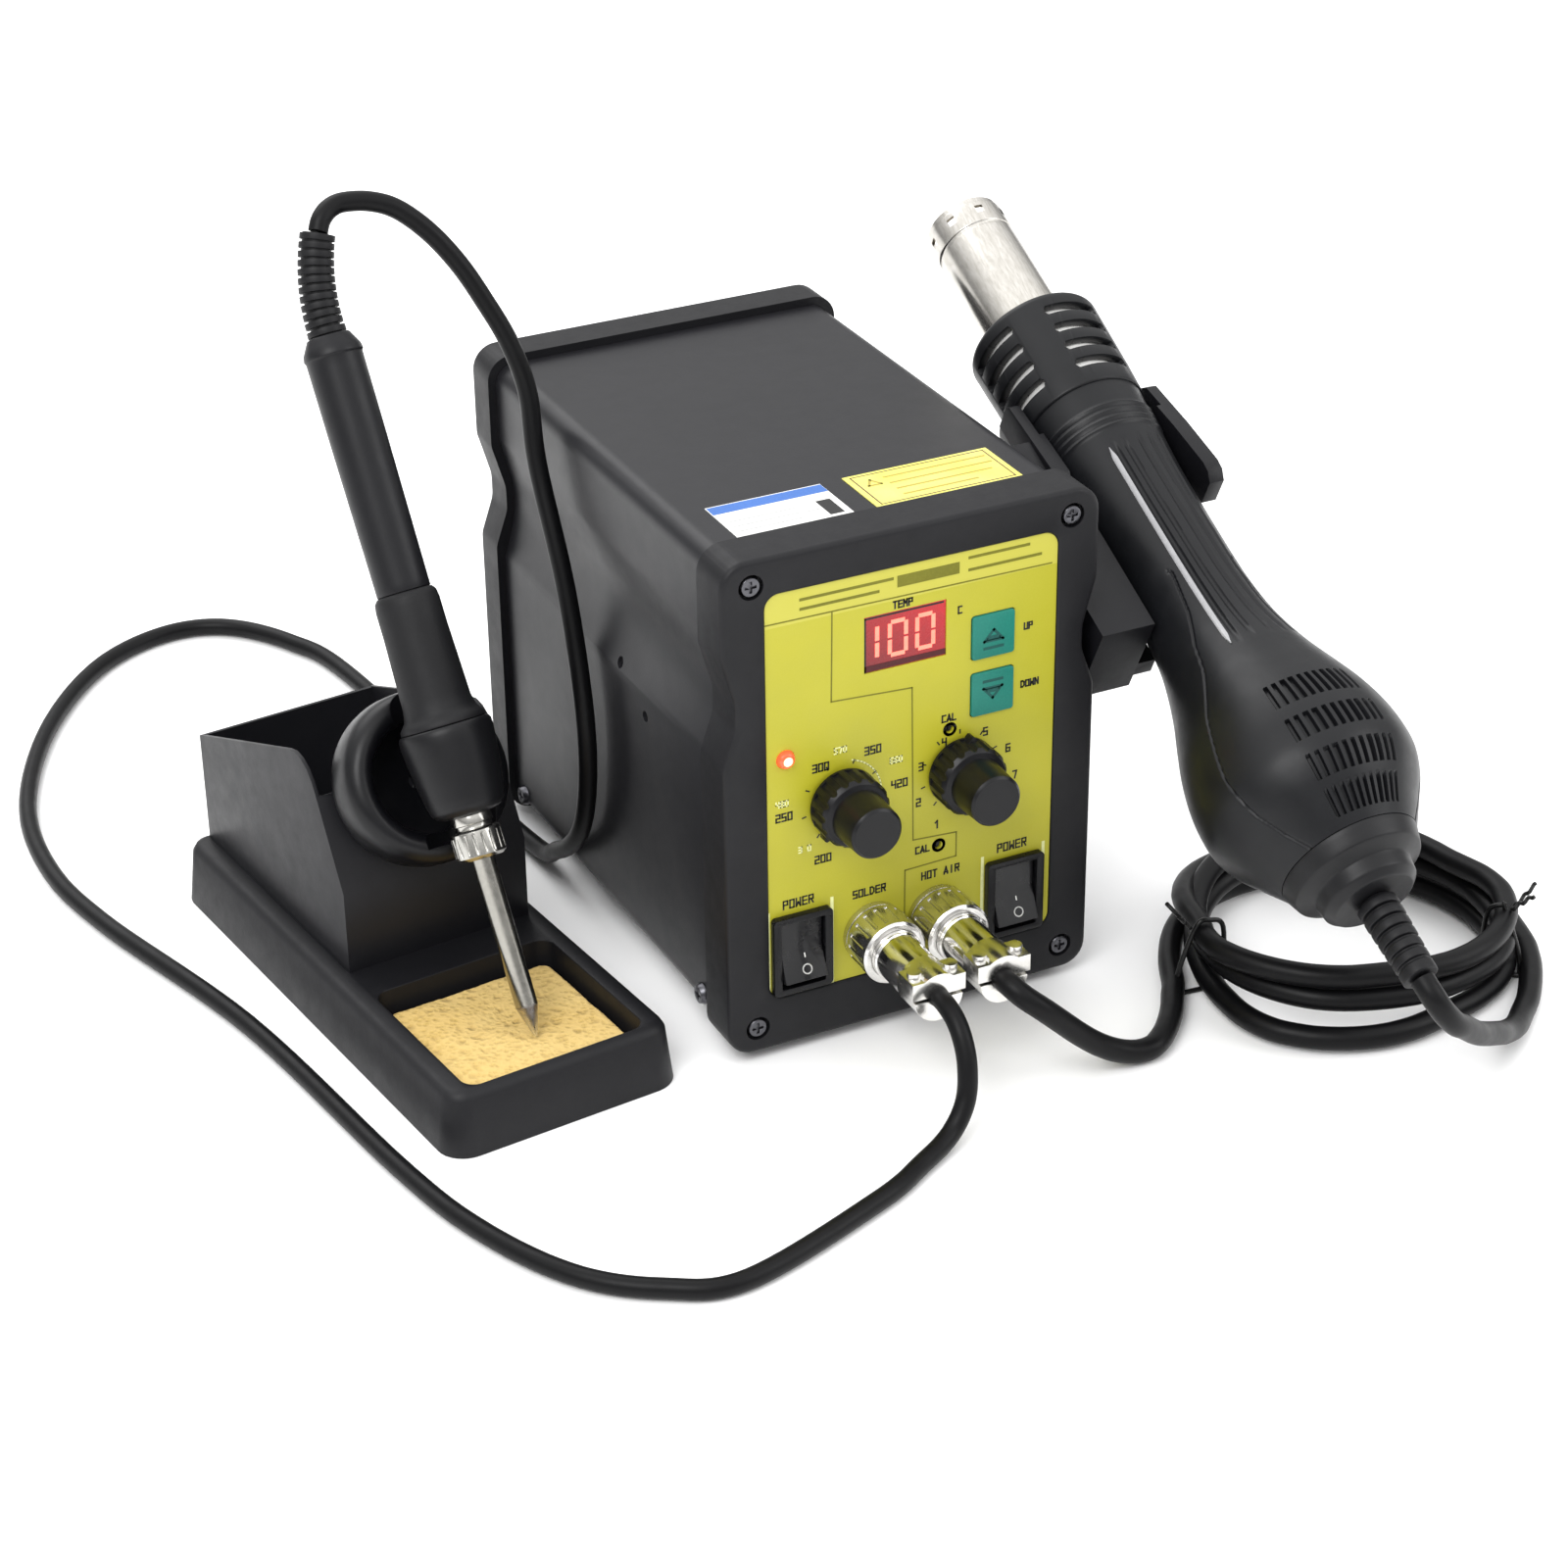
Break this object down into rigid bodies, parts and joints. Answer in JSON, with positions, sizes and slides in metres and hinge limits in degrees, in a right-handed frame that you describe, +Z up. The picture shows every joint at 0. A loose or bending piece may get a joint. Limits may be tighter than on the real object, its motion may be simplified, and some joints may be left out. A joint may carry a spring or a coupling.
{
  "type": "soldering iron station",
  "caption": "Bench rework station: control unit with knobs, rocker switches and display, hot air gun in a side bracket, soldering iron on a separate stand with sponge.",
  "frame": {"origin": "on the floor, under the centre of the bounding box of everything except the cords", "axes": "+Z up, the control panel faces -Y, +X to the viewer right; the iron stand is at -X and the gun at +X"},
  "size_m": [0.3589, 0.4235, 0.2081],
  "materials": {
    "case_paint": "satin black powder coat",
    "zinc_sheet": "zinc plated",
    "bezel_plastic": "matte moulded",
    "panel_print": "printed yellow green",
    "rear_plate": "brushed",
    "plated_screw": "nickel plated",
    "foot_rubber": "matte",
    "label_paper": "printed stickers",
    "display_glass": "smoked red",
    "display_red": "lit segments",
    "board_green": "solder mask",
    "trimmer_body": "glossy",
    "core_steel": "varnished laminations",
    "winding": "enamelled copper",
    "pot_metal": "plated",
    "shaft_metal": "turned",
    "knob_plastic": "satin",
    "button_green": "satin green",
    "switch_black": "satin black",
    "rocker_black": "satin black with marks",
    "led_red": "lit",
    "socket_metal": "nickel plated",
    "plug_metal": "nickel plated",
    "ring_metal": "knurled nickel",
    "clamp_metal": "stamped nickel",
    "inlet_plastic": "matte",
    "bracket_plastic": "matte moulded",
    "pipe_steel": "satin, slightly heat tinted",
    "heater_ceramic": "unglazed ceramic",
    "gun_plastic": "satin moulded",
    "tail_plastic": "satin moulded",
    "relief_rubber": "soft matte",
    "fan_plastic": "matte",
    "motor_steel": "plated",
    "base_plastic": "matte moulded",
    "box_paint": "black paint",
    "cup_plastic": "semi gloss",
    "sponge_cell": "cellulose",
    "tip_plating": "plated, tinned end",
    "barrel_steel": "polished",
    "nut_chrome": "knurled",
    "collar_plastic": "satin moulded",
    "grip_rubber": "soft matte",
    "handle_plastic": "satin moulded",
    "cord_rubber": "matte jacket"
  },
  "bodies": {
    "station": {"case_shell": "case_paint", "base_plate": "zinc_sheet", "front_bezel": "bezel_plastic", "rear_bezel": "bezel_plastic", "front_panel": "panel_print", "rear_panel": "rear_plate", "case_screws": "plated_screw", "rubber_feet": "foot_rubber", "top_labels": "label_paper", "display_window": "display_glass", "display_module": "display_red", "control_board": "board_green", "cal_trimmers": "trimmer_body", "transformer_core": "core_steel", "transformer_coil": "winding", "potentiometers": "pot_metal", "iron_switch_frame": "switch_black", "air_switch_frame": "switch_black", "status_led": "led_red", "panel_sockets": "socket_metal", "iron_plug_shell": "plug_metal", "air_plug_shell": "plug_metal", "cable_clamps": "clamp_metal", "mains_inlet": "inlet_plastic", "gun_bracket": "bracket_plastic", "bracket_screws": "plated_screw", "stand_base": "base_plastic", "stand_box": "box_paint", "holder_cup": "cup_plastic", "sponge": "sponge_cell", "iron_cord": "cord_rubber", "air_lead": "cord_rubber", "air_coil": "cord_rubber"},
    "temp_dial": {"temp_knob": "knob_plastic", "temp_shaft": "shaft_metal"},
    "air_dial": {"air_knob": "knob_plastic", "air_shaft": "shaft_metal"},
    "up_key": {"up_button": "button_green"},
    "down_key": {"down_button": "button_green"},
    "iron_switch": {"iron_rocker": "rocker_black"},
    "air_switch": {"air_rocker": "rocker_black"},
    "iron_coupling": {"iron_plug_ring": "ring_metal"},
    "air_coupling": {"air_plug_ring": "ring_metal"},
    "fuse_tray": {"fuse_drawer": "inlet_plastic"},
    "iron": {"iron_tip": "tip_plating", "iron_barrel": "barrel_steel", "iron_nut": "nut_chrome", "iron_collar": "collar_plastic", "iron_grip": "grip_rubber", "iron_handle": "handle_plastic", "iron_relief": "relief_rubber"},
    "gun": {"nozzle_pipe": "pipe_steel", "gun_heater": "heater_ceramic", "heat_guard": "gun_plastic", "gun_upper_shell": "gun_plastic", "gun_lower_shell": "gun_plastic", "gun_tail": "tail_plastic", "gun_relief": "relief_rubber", "fan_motor": "motor_steel"},
    "fan": {"fan_rotor": "fan_plastic"}
  },
  "joints": [
    {"name": "temp_turn", "type": "hinge", "parent": "station", "child": "temp_dial", "pos_m": [-0.0022, -0.0287, 0.0719], "axis": [0, -1, 0], "range_deg": [-280, 0]},
    {"name": "air_turn", "type": "hinge", "parent": "station", "child": "air_dial", "pos_m": [0.032, -0.0287, 0.0724], "axis": [0, -1, 0], "range_deg": [-130, 150]},
    {"name": "up_press", "type": "slide", "parent": "station", "child": "up_key", "axis": [0, 1, 0], "range_m": [0, 0.0007], "stiffness_N_per_m": 900},
    {"name": "down_press", "type": "slide", "parent": "station", "child": "down_key", "axis": [0, 1, 0], "range_m": [0, 0.0007], "stiffness_N_per_m": 900},
    {"name": "iron_switch_tip", "type": "hinge", "parent": "station", "child": "iron_switch", "pos_m": [-0.0144, -0.0251, 0.0307], "axis": [1, 0, 0], "range_deg": [0, 24]},
    {"name": "air_switch_tip", "type": "hinge", "parent": "station", "child": "air_switch", "pos_m": [0.0485, -0.0251, 0.0306], "axis": [1, 0, 0], "range_deg": [0, 24]},
    {"name": "iron_coupling_turn", "type": "hinge", "parent": "station", "child": "iron_coupling", "pos_m": [0.0067, -0.0287, 0.0305], "axis": [0, -1, 0], "continuous": true},
    {"name": "air_coupling_turn", "type": "hinge", "parent": "station", "child": "air_coupling", "pos_m": [0.0256, -0.0287, 0.0305], "axis": [0, -1, 0], "continuous": true},
    {"name": "fuse_slide", "type": "slide", "parent": "station", "child": "fuse_tray", "axis": [0, 1, 0], "range_m": [0, 0.015]},
    {"name": "iron_lift", "type": "slide", "parent": "station", "child": "iron", "axis": [-0.0566, 0.4968, 0.866], "range_m": [0, 0.12], "deforming": ["iron_cord"]},
    {"name": "gun_lift", "type": "slide", "parent": "station", "child": "gun", "axis": [0, -0.4446, 0.8957], "range_m": [0, 0.08], "deforming": ["air_lead"]},
    {"name": "fan_spin", "type": "hinge", "parent": "gun", "child": "fan", "pos_m": [0.1051, -0.07275, 0.07582], "axis": [0, -0.8957, -0.4446], "continuous": true}
  ]
}
